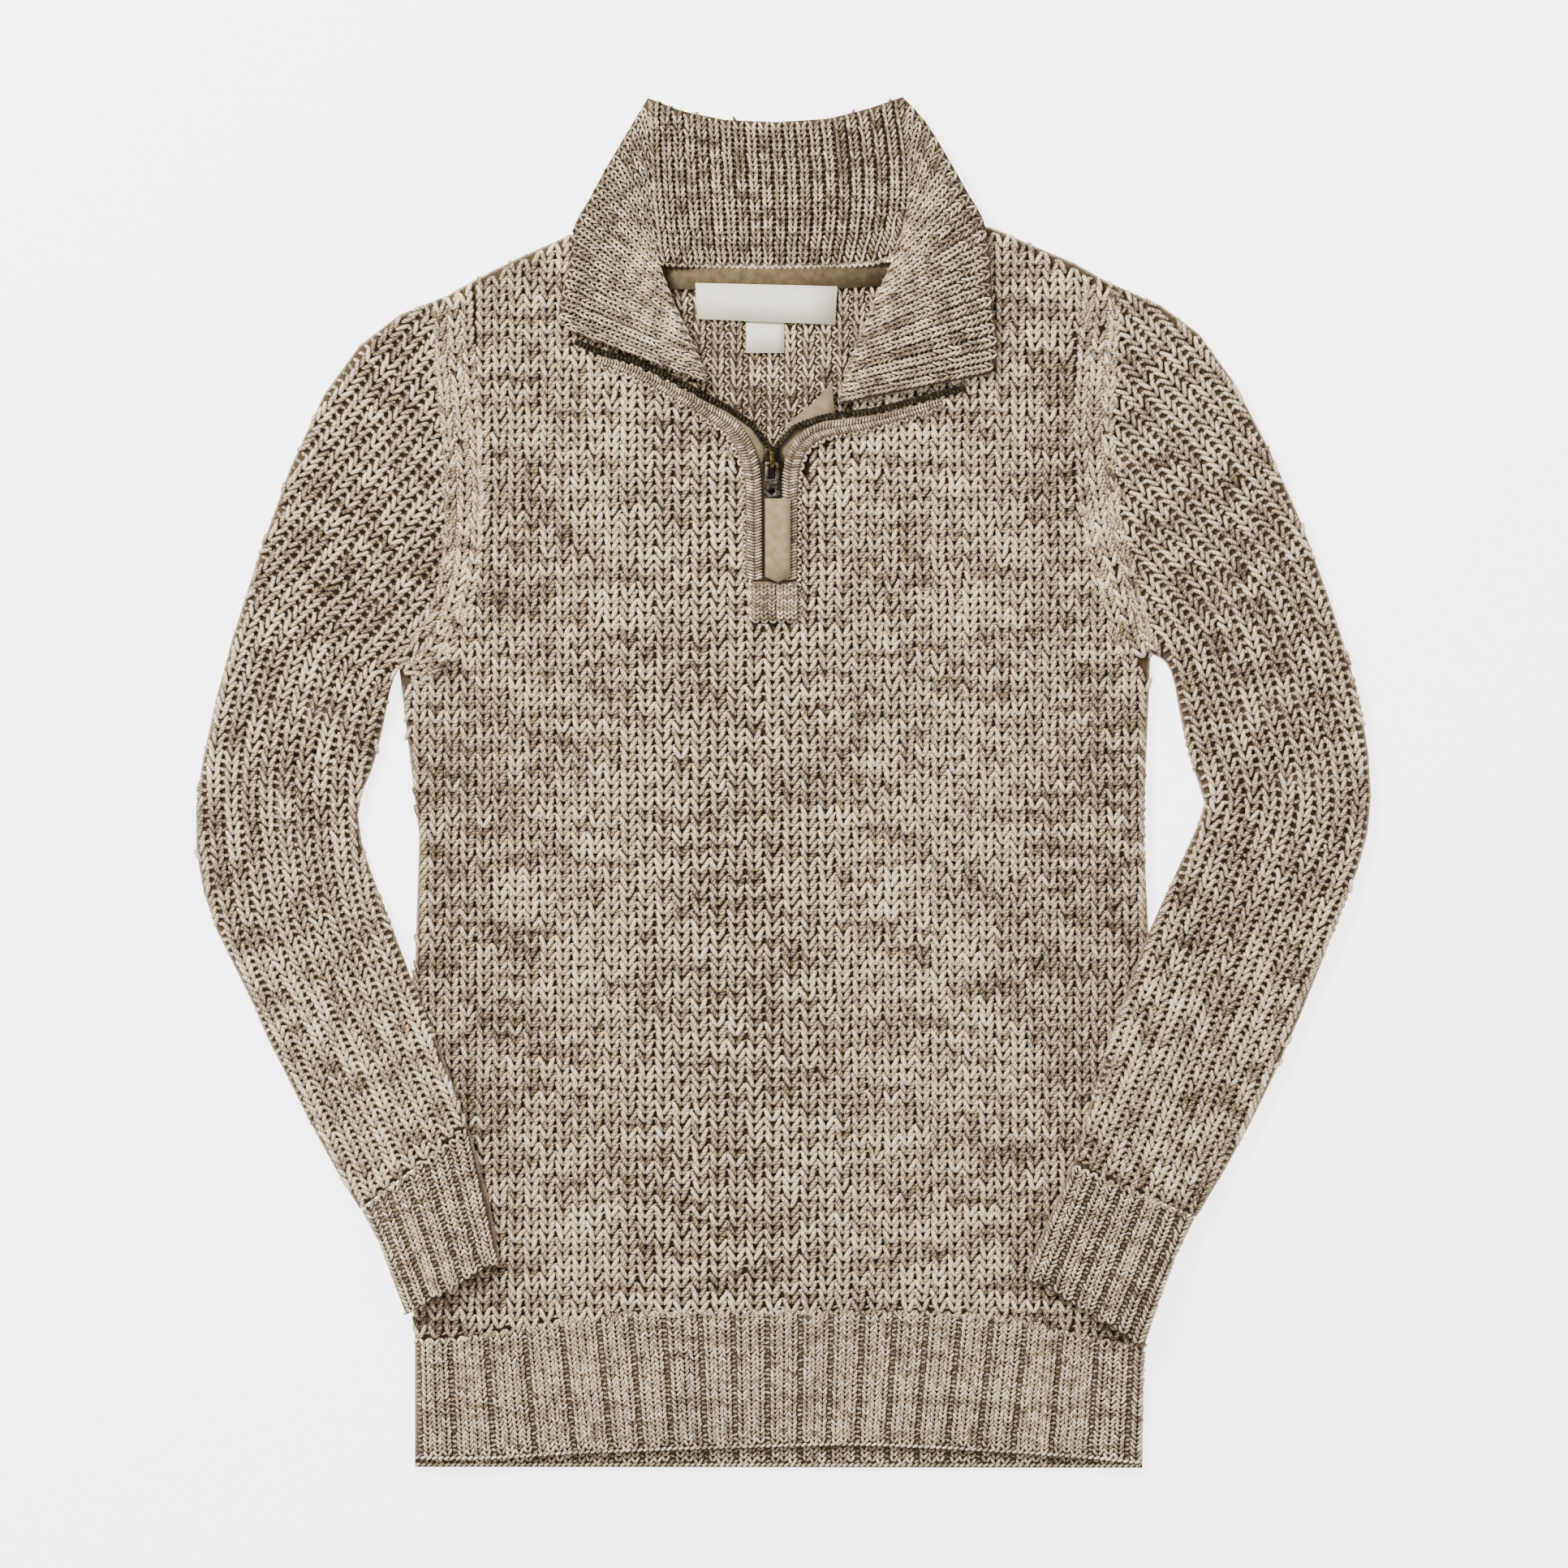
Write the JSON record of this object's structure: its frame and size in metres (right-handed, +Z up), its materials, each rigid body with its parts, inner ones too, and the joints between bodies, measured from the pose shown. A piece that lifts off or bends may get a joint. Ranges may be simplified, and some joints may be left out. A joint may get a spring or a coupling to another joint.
{
  "type": "quarter zip sweater",
  "caption": "Child's chunky knitted sweater with a ribbed fold-down collar, ribbed hem and cuffs and a short front zip, laid flat.",
  "frame": {"origin": "middle of the outline's box, on the surface that the sweater lies on", "axes": "+X across the chest to the viewer's right, +Y from the hem to the collar, +Z up off the surface"},
  "size_m": [0.5216, 0.6084, 0.018],
  "materials": {
    "knit": "chunky marled cotton knit",
    "rib": "ribbed marled cotton knit",
    "band": "fine cotton knit",
    "tape": "woven zip tape and knitted binding",
    "twill": "cotton twill",
    "label": "woven label",
    "metal": "antiqued brass"
  },
  "bodies": {
    "garment": {"back": "knit", "front": "knit", "back_hem_rib": "rib", "front_hem_rib": "rib", "sleeve_left": "knit", "sleeve_right": "knit", "cuff_left": "rib", "cuff_right": "rib", "collar": "rib", "placket_band_left": "band", "placket_band_right": "band", "band_end_left": "band", "band_end_right": "band", "zip_tape_left": "tape", "zip_tape_right": "tape", "zip_teeth_left": "metal", "zip_teeth_right": "metal", "neck_tape": "tape", "label_main": "label", "label_size": "label", "zip_slider": "metal"},
    "pull": {"zip_pull_link": "metal", "zip_pull_tab": "twill"}
  },
  "joints": [
    {"name": "pull_hinge", "type": "hinge", "parent": "garment", "child": "pull", "pos_m": [-0.00517, 0.14135, 0.0119], "axis": [-1, 0, 0], "range_deg": [0, 150]}
  ]
}
